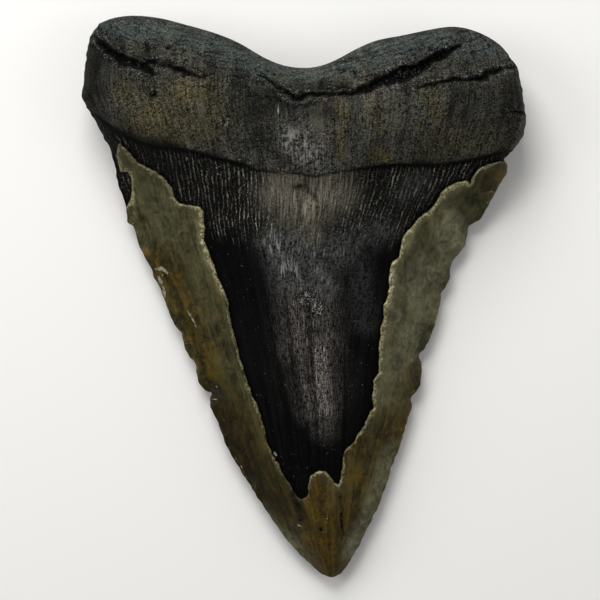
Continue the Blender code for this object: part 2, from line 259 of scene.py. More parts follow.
# %% Raise the upper face and lower the under face
ROOT_THICKNESS, ENAMEL_THICKNESS, CUTTING_EDGE_THICKNESS = 27.5, 1.0, 1.0
RIDGE = [
    (0, 0.20), (0.06, 0.30), (0.15, 0.41), (0.30, 0.54), (0.50, 0.68), (0.66, 0.77), (0.755, 0.84),
    (0.82, 0.955), (0.88, 1), (0.94, 0.95), (1, 0.84),
]
CROWN_RIM_HEIGHT, ROOT_RIM_HEIGHT = 3.2, 10.0
ROOT_BEGINS, ROOT_IS_FULL = 0.64, 0.84
TIP_ROUNDING, ROOT_TOP_ROUNDING, UNDER_TOP_ROUNDING = 0.07, 0.24, 0.12
CROWN_SWELL, ROOT_SWELL = (2.0, 1.15), (3.4, 0.5)  # two exponents across the tooth: the root's make a loaf
CROWN_BELLY, ROOT_BELLY = (2.6, 0.9), (7.0, 0.5)
LOBE_DROP = 0.22  # how much lower the two ends of the root lie than its middle
BOW_HEIGHT, BOW_FROM, BOW_TO, WEAR = 1.2, 0.12, 0.70, 0.5


def rounded(share):
    """The height of a quarter circle, from 0 at share 0 to 1 at share 1."""
    return np.sqrt(1 - (1 - np.clip(share, 0, 1)) ** 2)


aside = np.abs(2 * across - 1)
rootness = eased((onward - ROOT_BEGINS) / (ROOT_IS_FULL - ROOT_BEGINS))


def arch(crown, root):
    """1 along the middle and 0 at the sides, bent by the crown's two exponents or by the root's."""
    inner, outer = (mix(a, b, rootness) for a, b in zip(crown, root))
    return (1 - aside**inner) ** outer


rim_height = mix(CROWN_RIM_HEIGHT, ROOT_RIM_HEIGHT, rootness)
ridge_curve = smooth_curve(RIDGE)
ridge_height = np.interp(onward, ridge_curve[:, 0], ridge_curve[:, 1]) * ROOT_THICKNESS
swell = arch(CROWN_SWELL, ROOT_SWELL)
swell *= rounded(onward / TIP_ROUNDING) * rounded((1 - onward) / ROOT_TOP_ROUNDING) ** 0.8
lobes = 1 - LOBE_DROP * rootness * aside**2
upper = rim_height + (ridge_height - rim_height) * lobes * swell + CUTTING_EDGE_THICKNESS / 2
belly = arch(CROWN_BELLY, ROOT_BELLY)
belly *= rounded(onward / TIP_ROUNDING) * rounded((1 - onward) / UNDER_TOP_ROUNDING)
bow = BOW_HEIGHT * np.sin(math.pi * np.clip((onward - BOW_FROM) / (BOW_TO - BOW_FROM), 0, 1))
under = rim_height - (rim_height - bow + WEAR) * belly - CUTTING_EDGE_THICKNESS / 2
print("thickest at", round(float((upper - np.maximum(under, 0)).max()), 1), "mm")

# %% [markdown]
# ## Relief: the break, the crease, the cracks and the pits
#
# A fossil's age is in its relief. The root has a crease where its tongue-side face rolls over, and the
# deepest cracks follow it. Each crack is a run of points with a half width, and each flake scar is a round
# mark on a cutting edge. They could be sculpted by hand, but in lists they can be moved or deepened one at a
# time.

# %% Mark the crease, the cracks, the pits and the flake scars
CREASE = [
    (-52, 65), (-46, 60.5), (-38, 57.5), (-24, 53.8), (-12, 51.6), (-4.8, 49), (6, 50.4), (17, 51.8),
    (29, 55.6), (38, 61), (44, 63.5),
]
CRACKS = [  # runs of (x, y, half width)
    [(-51.8, 64.9, 0.2), (-48.5, 61.6, 0.9), (-44.3, 58.6, 1.2), (-39.9, 56.8, 1.1), (-36.4, 54.4, 0.3)],
    [(-38.5, 58.2, 0.2), (-34.2, 57.2, 0.5), (-30.8, 55.9, 0.6), (-27.3, 54.6, 0.5), (-24.3, 53.6, 0.1)],
    [(-11, 54.6, 0), (-7.4, 52.6, 0.3), (-4.8, 50.4, 0.5), (-2.2, 49.1, 0.6), (1.2, 49.7, 0.5),
     (5.2, 49.8, 0.5), (10.8, 49.9, 0.5), (15.1, 50.9, 0.8), (18.2, 53, 1.1), (21.5, 53.8, 1.6),
     (24.7, 54.9, 1.9), (28, 55.9, 1.4), (31.2, 58.3, 1), (35.5, 60.6, 0.8), (39.8, 63.2, 0.1)],
    [(26.8, 50.9, 0.1), (30.7, 51.8, 0.4), (35.5, 53.2, 0.4), (42.9, 53.8, 0.5), (47.6, 56.2, 0.7),
     (52, 57.1, 0.2)],
    [(50.6, 45.7, 0), (53, 45.9, 0.2), (56, 46, 0.3)],
    [(8, 57.6, 0), (12.5, 59, 0.15), (18, 60.6, 0)],
    [(9.2, -49.7, 0), (9.3, -55, 0.12), (9.7, -59.7, 0)],
]
PITS = [(-36.8, 49.5, 0.7), (4.2, -57.8, 0.4), (1.6, 39, 0.3), (-19.5, 43, 0.3), (-33.5, 61.5, 0.4)]
SCALLOPS = [  # flake scars along the cutting edges, as (x, y, radius)
    (-44.6, 20.3, 2.6), (-41.6, 12.6, 2.3), (-38.6, 5.6, 2.6), (-36.2, 0.6, 2), (-33, -6.6, 2.4),
    (-29.6, -13.8, 2.4), (-24.2, -24.2, 3), (-21, -32.6, 1.8), (-17.6, -40, 1.6), (-13.4, -47, 1.7),
    (29.6, -14.8, 2.6), (27.9, -25.4, 2.2), (35.2, 2, 2.2), (38.2, 8.6, 2), (42.4, 17.6, 2.4),
    (31.9, -9, 1.8), (24.2, -40.2, 1.9), (20, -48.4, 1.6), (47.6, 24.6, 2), (50.6, 34.6, 1.8),
]
print(len(CRACKS), "cracks,", len(PITS), "pits and", len(SCALLOPS), "flake scars")

# %% [markdown]
# Every point is measured to these marks, after a small random push that keeps their edges from looking drawn.

# %% Measure every point to the marks
def within(spots, runs):
    """Millimetres inside the nearest of the runs, each a path with a half width, and less than 0 outside."""
    best = np.full(len(spots), -60.0)
    for run in runs:
        run = np.array(run, float)
        gap, _, at = to_path(spots, run[:, :2])
        best = np.maximum(best, np.interp(at, np.arange(len(run)), run[:, 2]) - gap)
    return best


def dots(rounds):
    """Round marks as very short runs."""
    return [[(x, y, radius), (x + 0.05, y, radius)] for x, y, radius in rounds]


def push(spots, size, reach, seeds):
    """A smooth random push for each spot, in millimetres, with a seed for each of its two directions."""
    return np.stack([lumps(spots, size, seed) for seed in seeds], axis=-1) * reach


wobble = push(places, 2.6, 0.7, (5.0, 9.0)) + push(places, 1.3, 0.4, (15.0, 19.0))
in_crack = np.maximum(within(places + wobble, CRACKS), within(places + 0.5 * wobble, dots(PITS)))
in_scallop = within(places + 1.3 * wobble, dots(SCALLOPS))
crease_gap, crease_foot, _ = to_path(places, CREASE)
crease_mm = np.where(places[:, 1] > crease_foot[:, 1], crease_gap, -crease_gap)
print(int((in_crack > 0).sum()), "points in cracks,", int((in_scallop > 0).sum()), "in flake scars")

# %% [markdown]
# Relief in the shape, and not only in a bump, shows in the shadow and the outline. A crack is a
# round-bottomed groove, a flake scar is a shallow dish, and the bone is uneven at three sizes at once. The
# enamel's loss is a step of about a millimetre, which fades in below the middle of the neck, where the real
# tooth shows no ledge. No mark is let through the thin cutting edge.

# %% Press the relief in
CREASE_DEPTH, CREASE_WIDTH = 1.2, 2.6
CRACK_SLOPE, CRACK_SHOULDER, CRACK_REACH = 1.5, 0.3, 1.2  # depth for each mm inwards, from where, how far
SCALLOP_DEPTH, SCALLOP_SHOULDER, SCALLOP_REACH = 0.55, 0.4, 2.2
STEP_MIDDLE, STEP_GAP, STEP_BLEND = 2.0, 8.0, 10.0  # the gentle part of the step: middle, half width, ends
STEP_FADE_LENGTH = 5.0
ROOT_UNEVENNESS = ((9.0, 0.55), (3.6, 0.28), (1.7, 0.13))  # feature size and height, in mm
CROWN_UNEVENNESS = ((10.0, 0.16), (3.2, 0.06))
UNDERSIDE_SHARE = 0.6  # the face below is as uneven as this share of the face above
DEEPEST_SHARE = 0.45  # of the thickness at each point
NECK_BLEND = 3  # in mm: the crown's roughness turns into the bone's over this length
RIM_FADE = 3  # the higher, the nearer to the rim the relief is whole

crack_depth = CRACK_SLOPE * np.clip(in_crack + CRACK_SHOULDER, 0, CRACK_REACH)
scallop_depth = SCALLOP_DEPTH * eased((in_scallop + SCALLOP_SHOULDER) / SCALLOP_REACH) * (root_mm < 0)
rough_root = sum(height * lumps(places, size, 20 + size) for size, height in ROOT_UNEVENNESS)
rough_crown = sum(height * lumps(places, size, 40 + size) for size, height in CROWN_UNEVENNESS)
on_root = eased((root_mm + NECK_BLEND / 2) / NECK_BLEND)
relief = mix(rough_crown, rough_root, on_root) - CREASE_DEPTH * np.exp(-((crease_gap / CREASE_WIDTH) ** 2))
step_fade = eased((np.abs(places[:, 0] - STEP_MIDDLE) - STEP_GAP) / STEP_BLEND)
broken = bare * ENAMEL_THICKNESS * (1 + 0.2 * lumps(places, 6.0, 3.0))
broken *= mix(eased(-root_mm / STEP_FADE_LENGTH), 1, step_fade)
hollow = np.minimum(broken + crack_depth + scallop_depth, DEEPEST_SHARE * (upper - under))
height = np.where(is_upper, upper + relief * np.minimum(swell * RIM_FADE, 1) - hollow, 0)
under_relief = UNDERSIDE_SHARE * rough_crown * np.minimum(belly * RIM_FADE, 1)
height = np.where(is_upper, height, np.maximum(under + under_relief, 0))
print("deepest relief", round(float(hollow[is_upper].max()), 2), "mm")

# %% [markdown]
# ## Where each colour lies
#
# The stains of a fossil belong to places: a tan bloom on one lobe of the root, pale bruises on the cutting
# edge.
# Some strokes paint light and shade instead: the soft sheen down the bare dentine is partly a painted
# highlight, pale strokes over the top and the right edge of the root are painted highlights, and a few dark
# strokes are painted shadow. They are brushed on as strokes and kept on the points as attributes, and the
# materials break them up with fine noise. A painted image would do the same, but strokes stay editable and
# carry no resolution.

# %% Mark the strokes of colour
STROKES = {  # each stroke is (strength, reach in mm, points)
    "brown": [
        (0.8, 8, [(-39, 43.5), (-36, 45.5)]), (0.9, 7, [(-30, 49.5), (-25, 50.2)]),
        (0.55, 10, [(-34, 40.5), (-24, 44)]), (0.5, 6, [(-44, 50), (-42, 47)]),
        (0.55, 2.4, [(8.6, 49), (9.6, 42)]), (0.5, 2.4, [(9.6, 42), (9.4, 35)]),
        (0.3, 4, [(16.5, 50), (17, 42)]), (0.4, 4.5, [(30, 51), (32, 45)]),
        (0.75, 3.2, [(17.8, 34.9), (20, 34)]), (0.3, 8, [(32, 38), (46, 38.5)]),
        (0.9, 8, [(-36, 9), (-31, -1), (-27, -11), (-22, -24)]), (0.5, 6, [(-20, 2), (-15, -16), (-10, -32)]),
        (1, 13, [(-24, -25), (-14, -41), (-6, -53)]), (1, 12, [(3, -50), (5, -60), (6.5, -67)]),
        (1, 9, [(14, -36), (13, -46), (11, -56)]), (0.9, 9, [(27, -20), (20, -36)]),
        (0.5, 5, [(-6, 54.5), (4, 53.5), (14, 55.5)]),
        (0.45, 4, [(30, 20), (25, 12)]), (0.45, 5, [(45, 27), (49, 33)]),
    ],
    "rust": [
        (0.9, 2.2, [(48.4, 30.2), (48.8, 31)]), (0.9, 1.7, [(-40, 12.2), (-39.6, 11.4)]),
        (0.18, 10, [(3, -50), (6, -66)]),
    ],
    "pale": [
        # painted highlight: the first two strokes, along the rolled top of the root, paint the light that
        # falls there
        (0.9, 5.5, [(-48, 66.5), (-36, 66), (-24, 62.8), (-10, 57), (0, 54.3), (12, 57.5)]),
        (0.8, 6.5, [(12, 57.5), (18, 60.5), (30, 63.5), (42, 63), (49, 59)]),
        (1, 7, [(-3, 38), (2, 35)]), (0.25, 8, [(-3, 44), (0, 40)]),
        (0.9, 11, [(-5, 27), (0, 23.5), (6, 27)]), (0.5, 5, [(-1, 19), (2, 16)]),
        (0.6, 8, [(29, 4), (25, -12), (22, -24)]),
        (1, 7, [(36, 20), (38, 12)]), (0.6, 6, [(32, 8), (33, -3)]), (0.15, 7, [(-38, 26), (-34, 16)]),
        (0.9, 4, [(22, -38), (16.5, -52), (11.5, -64)]), (0.7, 3.2, [(-10, -53), (-4, -61), (2, -68)]),
        # painted highlight: a thin line of light down the root's right edge
        (0.9, 1.8, [(53.6, 54), (55.2, 45), (53, 38)]),
        (1, 3.4, [(24, 13), (27, 18), (33, 24.5), (39, 29)]),
        (0.7, 2, [(20.6, -2), (22.4, 9)]), (0.6, 2, [(-26, 22), (-24.6, 12), (-19.5, 1)]),
    ],
    "dark": [
        (1, 3.2, [(-2.4, -48.6), (-1.2, -55)]), (0.45, 1.4, [(8.8, -47), (9.6, -59)]),
        (0.75, 11, [(-23, -26), (-14, -41), (-8, -50)]), (0.7, 3.6, [(-6, 50.5), (1, 51.6), (10, 50.8)]),
        (1, 1.9, [(-1.6, 27), (-0.4, 27)]), (0.9, 1.2, [(-1, 24.5), (-0.9, 18.5)]),
        (0.9, 1, [(1.6, 26.5), (2.4, 24)]),
        (0.9, 10, [(-54, 50), (-51, 60)]), (0.5, 6, [(-8, 48), (-16, 44)]), (0.4, 8, [(40, 46), (48, 50)]),
        (0.6, 5.5, [(-5, 47), (5, 45)]),
        # painted shadow: the strokes through (-46, 41) and (-44, 37) darken the left side along and below the
        # neck, where the root's edge casts shade, and the one through (40, 21) shades one facet of a fold in
        # the enamel
        (0.7, 2.2, [(-46.5, 26), (-47.5, 34)]), (0.9, 2.6, [(-46, 41), (-40, 38.2), (-31, 36.4)]),
        (0.6, 8, [(-44, 37), (-32, 31), (-22, 25)]), (0.5, 1.6, [(38.6, 23), (40, 21), (42, 18.8)]),
        (0.35, 2.6, [(35, 23.6), (40, 26.6), (41.6, 24)]), (0.35, 6, [(-22, 48), (-14, 40)]),
        (0.3, 5, [(45.5, 29.5), (49.5, 33)]),
    ],
    "dusk": [
        (0.95, 7, [(-7, 14), (-5, 9), (-3, 5)]), (0.7, 9, [(-3, 13), (3, 11), (9, 12)]),
        (0.7, 6, [(3, 9), (5, 3)]), (0.3, 6, [(13, 10), (15, -6)]), (0.4, 5, [(24, 25), (29, 29)]),
        (0.5, 7, [(12, 15), (19, 17)]),
    ],
    # painted sheen: a soft brown-grey highlight down the middle of the bare dentine, partly its own brown
    "painted_sheen": [
        (0.5, 10, [(-1, 1), (0, -12)]), (0.45, 8, [(4, 2), (5, -12)]), (0.6, 9, [(2, -12), (4, -26)]),
        (0.9, 3.8, [(3.8, -13), (4.4, -28)]), (0.2, 13, [(1, 4), (3, -20)]), (0.35, 6, [(4, -26), (5, -32)]),
    ],
    "sparkle": [(0.9, 3.8, [(0.6, 0.6), (2.4, -2.2)])],
}
print({name: len(strokes) for name, strokes in STROKES.items()})

# %% Mark the chips, and keep every mark on the points
CHIP_MARKS = [  # small pale marks, as runs of (x, y, half width)
    [(-37.4, 7.3, 0.4), (-35.8, 7.4, 0.6), (-34.4, 6.2, 0.4)], [(-37.9, 5.4, 0.45), (-37.8, 5, 0.4)],
    [(-36.6, 5.2, 0.3), (-35.9, 3.9, 0.35)], [(-35.5, 2.8, 0.35), (-35.1, 1.3, 0.55), (-34.8, 0, 0.2)],
    [(-28.9, -2.4, 0.05), (-28.4, -4.8, 0.22), (-27.3, -7.4, 0.1)],
    [(41, 29.6, 0.05), (41.6, 27.6, 0.15), (41.9, 25.8, 0)],
    [(-7.8, -37.8, 0.2), (-7.2, -38.6, 0.45), (-6.3, -38.8, 0.2)], [(5.8, -48, 0.02), (5.6, -59, 0.02)],
    [(-1.2, -57, 0.3), (-0.3, -57.5, 0.2)], [(33.2, -6.8, 0), (32, -10, 0.15), (30.2, -12.6, 0)],
    [(-6.5, 47, 0.05), (-6.6, 45.4, 0.25), (-6.5, 43.4, 0.05)], [(1.2, 23, 0.2), (2, 20, 0.05)],
    [(-24.2, -21.4, 0), (-22.6, -22, 0.15), (-21.8, -23.2, 0)],
    [(-23.8, -25.8, 0), (-21.8, -25.6, 0.18), (-20.8, -25.9, 0)],
    [(-19, -36.8, 0), (-15.4, -43.4, 0.08), (-12.4, -48.4, 0)],
]
FAR = 50  # in mm: further from a mark than any finish looks
DAUB_SIZE, DAUB_REACH = 4.0, 0.9  # in mm: how the edges of the strokes wander


def brushed(spots, strokes):
    """The strongest stroke over each spot, fading to nothing at the stroke's reach."""
    total = np.zeros(len(spots))
    for strength, reach, path in strokes:
        total = np.maximum(total, strength * eased(1 - to_path(spots, path)[0] / reach))
    return total


daub = places + push(places, DAUB_SIZE, DAUB_REACH, (60.0, 70.0))
attributes = {name: brushed(daub, strokes) * is_upper for name, strokes in STROKES.items()}
attributes["in_chip"] = np.where(is_upper, within(daub, CHIP_MARKS), -FAR)
attributes["in_crack"] = np.where(is_upper, in_crack, -FAR)
attributes["in_scallop"] = np.where(is_upper & (bare == 0), in_scallop, -FAR)
attributes["crease_mm"] = np.where(is_upper, crease_mm, FAR)
attributes["inward_mm"] = np.where(is_upper, inward_mm, -FAR)
attributes["root_mm"] = root_mm
attributes["underside"] = (~is_upper).astype(float)
print("attributes:", ", ".join(attributes))

# %% [markdown]
# ## From the sheet to the tooth
#
# The points take their heights only now, because every measure above is made on the flat sheet. The faces
# are shaded smooth, but an edge that bends by more than the set angle stays crisp.

# %% Turn the sheet into the tooth
SHARP_ANGLE = 42  # degrees

for vert, (x, y), z in zip(sheet.verts, places, height):
    vert.co = Vector((x, y, z)) * MM
bmesh.ops.recalc_face_normals(sheet, faces=sheet.faces)
grain_layer = sheet.loops.layers.uv.new("grain")
for face in sheet.faces:
    face.smooth = True
    for loop in face.loops:
        loop[grain_layer].uv = (across[loop.vert.index], onward[loop.vert.index])
tooth_mesh = bpy.data.meshes.new("fossil_tooth")
sheet.to_mesh(tooth_mesh)
sheet.free()
for name, values in attributes.items():
    tooth_mesh.attributes.new(name, "FLOAT", "POINT").data.foreach_set("value", values.astype(np.float32))
tooth_mesh.set_sharp_from_angle(angle=math.radians(SHARP_ANGLE))
fossil_tooth = bpy.data.objects.new("fossil_tooth", tooth_mesh)
bpy.context.scene.collection.objects.link(fossil_tooth)
print("triangles:", sum(len(p.vertices) - 2 for p in tooth_mesh.polygons))

# %% [markdown]
# ## Shader sums as plain sums
#
# A node tree is hard to read in code, because each sum takes a node and two links. So a small class wraps a
# socket, and adding two of them makes the Math node that adds them. A second class holds the material and
# makes every other node.

# %% Define the wrapped socket and the bench that makes nodes
class Wire:
    """One output of a node, on which sums can be written."""

    def __init__(self, bench, socket):
        self.bench, self.socket = bench, socket

    def sum(self, operation, *values, clamp=False):
        settings = {"operation": operation, "use_clamp": clamp}
        return self.bench.node("ShaderNodeMath", settings, dict(enumerate(values)))

    def __add__(self, other):
        return self.sum("ADD", self, other)

    def __sub__(self, other):
        return self.sum("SUBTRACT", self, other)

    def __rsub__(self, other):
        return self.sum("SUBTRACT", other, self)

    def __mul__(self, other):
        return self.sum("MULTIPLY", self, other)

    __radd__, __rmul__ = __add__, __mul__

    def absolute(self):
        return self.sum("ABSOLUTE", self)

    def clipped(self):
        return self.sum("ADD", self, 0, clamp=True)

    def at_least(self, other):
        return self.sum("MAXIMUM", self, other)

    def rise(self, low, high):
        """0 below low, 1 above high, eased between. With low above high it falls instead."""
        ends = {"Value": self, "From Min": low, "From Max": high}
        return self.bench.node("ShaderNodeMapRange", {"interpolation_type": "SMOOTHSTEP"}, ends)


class Bench:
    """A material's node tree, with one method that makes any node."""

    def __init__(self, name):
        self.material = bpy.data.materials.new(name)
        self.material.use_nodes = True
        self.tree = self.material.node_tree
        self.shader = self.tree.nodes["Principled BSDF"]

    def node(self, kind, settings=None, values=None, output=0):
        made = self.tree.nodes.new(kind)
        for name, setting in (settings or {}).items():
            setattr(made, name, setting)
        self.plug(made, values or {})
        return Wire(self, made.outputs[output])

    def plug(self, made, values):
        for name, value in values.items():
            if isinstance(value, Wire):
                self.tree.links.new(value.socket, made.inputs[name])
            else:
                made.inputs[name].default_value = value

    def attribute(self, name):
        return self.node("ShaderNodeAttribute", {"attribute_name": name}, output="Fac")

    def blend(self, amount, first, second):
        """Two colours mixed. Sockets 6 and 7 are the Mix node's colours, and output 2 is its colour."""
        first, second = (colour if isinstance(colour, Wire) else tone(*colour) for colour in (first, second))
        values = {0: amount, 6: first, 7: second}
        return self.node("ShaderNodeMix", {"data_type": "RGBA"}, values, output=2)

    def layered(self, ground, *layers):
        """The ground with each layer, an amount and a colour, laid over it in turn."""
        for amount, colour in layers:
            ground = self.blend(amount, ground, colour)
        return ground

    def noise(self, *values):
        names = ("Vector", "Scale", "Detail", "Roughness", "Distortion")
        return self.node("ShaderNodeTexNoise", None, dict(zip(names, values)))


def tone(red, green, blue):
    """A colour as a paint chart gives it, from 0 to 255, in the linear values that a shader takes."""
    shares = [level / 255 for level in (red, green, blue)]
    linear = [share / 12.92 if share < 0.04 else ((share + 0.055) / 1.055) ** 2.4 for share in shares]
    return (*linear, 1)


fossil = Bench("fossil_tooth")
blend, layered = fossil.blend, fossil.layered
print("a mid olive is", [round(c, 3) for c in tone(100, 100, 80)[:3]])

# %% [markdown]
# ## The masks that the finishes share
#
# Object coordinates in millimetres place what has no direction, such as pores and blotches. The grain map
# places what runs from tip to root: stretched along the tooth, it draws noise out into lines that fan with
# the tooth. Where an edge has to be crisp, distances kept on the points, such as `inward_mm`, are better
# masks than strokes, because a threshold on a distance stays sharp however coarse the mesh is.

# %% Set out the coordinates and read the attributes
MAP_WIDTH, MAP_LENGTH = 100.0, 150.0  # the grain map's span in millimetres, near enough

object_place = fossil.node("ShaderNodeTexCoord", output="Object")
mm_place = fossil.node("ShaderNodeVectorMath", {"operation": "SCALE"}, {0: object_place, "Scale": 1 / MM})
grain_map = fossil.node("ShaderNodeUVMap", {"uv_map": "grain"})
x_mm, side_share = (
    fossil.node("ShaderNodeSeparateXYZ", None, {0: place}, output="X") for place in (mm_place, grain_map)
)


def stretched(place, scale):
    """The coordinates times one number for each direction."""
    return fossil.node("ShaderNodeVectorMath", {"operation": "MULTIPLY"}, {0: place, 1: scale})


def cloud(per_mm, roughness=0.55, distortion=0.0, detail=4.0):
    """Noise that runs in no direction, with this many features to the millimetre."""
    return fossil.noise(mm_place, per_mm, detail, roughness, distortion)


def grain(streak_mm, length_mm, roughness=0.55, distortion=0.0, detail=4.0):
    """Noise that runs along the tooth, with streaks this wide and this long."""
    scale = (MAP_WIDTH / streak_mm, MAP_LENGTH / length_mm, 1.0)
    return fossil.noise(stretched(grain_map, scale), 1.0, detail, roughness, distortion)


def tell(stage):
    print(stage, "done:", len(fossil.tree.nodes), "nodes so far")


(
    brown, rust, pale, dark, dusk, painted_sheen, sparkle,  # in the order in which they were kept on the points
    in_chip_mark, in_crack_line, in_flake, from_crease, inside, from_neck, underside,
) = (fossil.attribute(name) for name in attributes)
tell("coordinates and attributes")

# %% [markdown]
# On a real tooth one streak or pit shows in the colour, the gloss and the relief at once. So each noise is
# made once and every finish reads the same one: three slow noises, three fine ones, and three that run with
# the grain.

# %% Mix the noises that the finishes share
blotch = cloud(0.15)
drift = cloud(0.24, 0.62, 1.0)
haze = cloud(0.30, 0.62, 0.8)
speckle = cloud(1.0, 0.65)
grit = cloud(2.0, 0.75)
fine = cloud(3.6, 0.7, detail=3.0)
streaks = grain(1.6, 24, 0.6, 0.5)
thin_streaks = grain(0.45, 7, 0.7)
brush = grain(1.0, 7, 0.62, 0.8)
shake = (speckle - 0.5) * 0.9 + (fine - 0.5) * 0.8
root_mask = (from_neck + shake).rise(-0.3, 0.3)
# painted glints: tiny bright specks that stand for light glinting off the grains
painted_glint_specks = fine.rise(0.62, 0.72)
tell("shared noises")

# %% [markdown]
# ## Enamel
#
# Old enamel is glassy but not clean: minerals from the sediment leave it olive-grey, greener in one place
# and tawnier in the next, with faint streaks along the tooth. One flat olive would look like paint. So a
# mottle of three noises, one of them drawn out a little along the tooth, sets the lights and darks, and weak
# layers of colour go over it.

# %% Mix the olive ground of the enamel
LONG_BLOTCHES = (0.42, 0.18, 0.42)  # less along the tooth than across it, so a blotch is longer than wide
OLIVE = (30, 28, 12), (70, 68, 45)  # from 0 to 255; a pair is the dark and the light end of a colour
GREEN_TINGE, TAWNY_TINGE = (56, 60, 34), (76, 66, 44)
LIGHT_STREAK, DARK_STREAK = (90, 87, 58), (24, 22, 8)

clouds = grain(7, 18, 0.6, 0.6)
long_blotches = fossil.noise(stretched(mm_place, LONG_BLOTCHES), 1.0, 4.0, 0.62, 1.0)
mottle = clouds * 0.22 + haze * 0.42 + long_blotches * 0.36
enamel = layered(
    blend((mottle * 0.8 + brush * 0.2).rise(0.40, 0.62), *OLIVE),
    (drift.rise(0.50, 0.64) * 0.4, GREEN_TINGE),
    (drift.rise(0.47, 0.36) * 0.5, TAWNY_TINGE),
    (streaks.rise(0.50, 0.66) * 0.2, LIGHT_STREAK),
    (streaks.rise(0.44, 0.32) * 0.2, DARK_STREAK),
)
tell("olive ground")

# %% [markdown]
# Along the cutting edges and beside the break the enamel is bruised and has bleached. Towards the tip and the
# left edge, where it is thin, it has gone brown. The brushed strokes say where, and the same mottle breaks
# them up, so that no stroke shows an edge of its own.

# %% Bleach and brown the enamel
BLEACHED, BROWNED = ((94, 92, 67), (132, 130, 105)), ((22, 16, 1), (78, 61, 12))
OLIVE_BROWN, WARM_BROWN = (45, 43, 12), (84, 69, 22)
RUST, BRUISED = (112, 84, 38), (116, 111, 74)

bleached = blend((speckle * 0.3 + mottle * 0.7).rise(0.40, 0.60), *BLEACHED)
browned = layered(
    blend((mottle * 0.85 + streaks * 0.15).rise(0.42, 0.60), *BROWNED),
    (drift.rise(0.50, 0.60) * 0.6, OLIVE_BROWN),
    (clouds.rise(0.53, 0.62) * 0.4, WARM_BROWN),
)
near_break = inside.rise(-3.4, -0.4) * (0.35 + pale * 0.55)
enamel = layered(
    enamel,
    ((pale * (haze * 1.3)).clipped(), bleached),
    (near_break * (brush.rise(0.44, 0.60) * 0.7 + 0.2), BRUISED),
    ((brown * (1 - pale * 0.8) * (0.4 + haze)).clipped(), browned),
    ((rust * (0.1 + speckle)).clipped(), RUST),
)
tell("brown enamel")

# %% [markdown]
# The small marks go on last: pale and dark flecks, hairline cracks where one noise passes through its middle
# value, the rims of the flake scars, and stubs where the serrations have worn down.

# %% Draw the small marks of the enamel
PALE_FLECK, DARK_FLECK, HAIRLINE = (118, 114, 84), (18, 16, 5), (22, 19, 10)
SCAR, SCAR_RIM, STUB = (42, 38, 22), (160, 156, 130), (118, 114, 90)

hairlines = (grain(5.0, 45, 0.5, 0.8, detail=2.0) - 0.5).absolute().rise(0.010, 0.0)
hairlines = hairlines * blotch.rise(0.45, 0.6)
flake_edge = in_flake + shake * 0.7
flake_arc = flake_edge.rise(-0.18, -0.04) * flake_edge.rise(0.12, 0.0) * haze.rise(0.52, 0.60)
side_gap = side_share * (1 - side_share)
serrations = side_gap.rise(0.013, 0.004) * grain(30, 1.1, detail=2.0).rise(0.5, 0.62)
serrations = serrations * from_neck.rise(-6.0, -12.0) * haze.rise(0.42, 0.58)
enamel = layered(
    enamel,
    ((thin_streaks * 0.5 + speckle * 0.5).rise(0.53, 0.64) * 0.18, PALE_FLECK),
    ((thin_streaks * 0.3 + grit * 0.7).rise(0.46, 0.34) * 0.2, DARK_FLECK),
    (hairlines * 0.5, HAIRLINE),
    (flake_edge.rise(0.0, 0.5) * 0.2, SCAR),
    (flake_arc * speckle.rise(0.42, 0.55) * 0.6, SCAR_RIM),
    (serrations * 0.3, STUB),
)
enamel_roughness = 0.34 + streaks * 0.14 + fine * 0.10
enamel_height = mottle * 0.35 + brush * 0.12 + speckle * 0.05 - hairlines * 0.06 + flake_arc * 0.08
tell("whole enamel")

# %% [markdown]
# ## Bare dentine
#
# Under the enamel the dentine has turned nearly black. Next to the root it is finely ridged, where the fibres
# of the gum's seat were anchored. The ridges are the crests of a sine across the grain map, shaken and broken
# by noise so that no two are alike. Low, dull crests run on nearly whole, and short, bright ones lie over
# them. Ridges in the mesh would need several times its faces.

# %% Mix the ridges below the neck
RIDGE_SPACING = 1.15  # in mm
MIDDLE_X = 1.5

from_middle = (x_mm - MIDDLE_X).absolute()
phase = side_share * (MAP_WIDTH * 2 * math.pi / RIDGE_SPACING)
phase = phase + grain(4, 8, 0.65) * 18.0 + (grit - 0.5) * 1.6
wave = phase.sum("SINE", phase)
ridge_band = (from_neck + (streaks - 0.5) * 16.0).rise(-20.0, -14.0)
ribbed = ridge_band * from_middle.rise(4.0, 10.0) * x_mm.rise(-47.5, -45.5)
ribbed = ribbed * (clouds.rise(0.36, 0.56) * 0.7 + 0.3)
low_crests = (wave + (thin_streaks - 0.5) * 3.0).rise(0.1, 0.9) * speckle.rise(0.36, 0.52) * ribbed
crests = (wave + (thin_streaks - 0.5) * 4.0 + (grit - 0.5) * 5.0).rise(0.70, 1.20)
crests = crests * grain(1.3, 6, 0.7, detail=3.0).rise(0.41, 0.53) * ribbed
print("ridges of", RIDGE_SPACING, "mm")

# %% [markdown]
# Lower down the dentine is smooth, with fine flutes along its length. A soft brown-grey sheen down its middle
# is partly its own brown and partly a painted highlight. Short, bright painted glints on the flutes make the
# sheen look polished, which a lighter colour alone would not.

# %% Mix the black dentine and its painted sheen
JET, JET_FLECK = ((2, 2, 2), (9, 9, 9)), (44, 44, 44)
PAINTED_SHEEN, PAINTED_GLINT = ((10, 9, 8), (118, 112, 106)), (190, 184, 177)

flutes = grain(0.36, 2.6, 0.72)
broad_flutes = grain(2.4, 40, 0.5, detail=3.0)
on_flutes = flutes * 0.5 + fine * 0.5
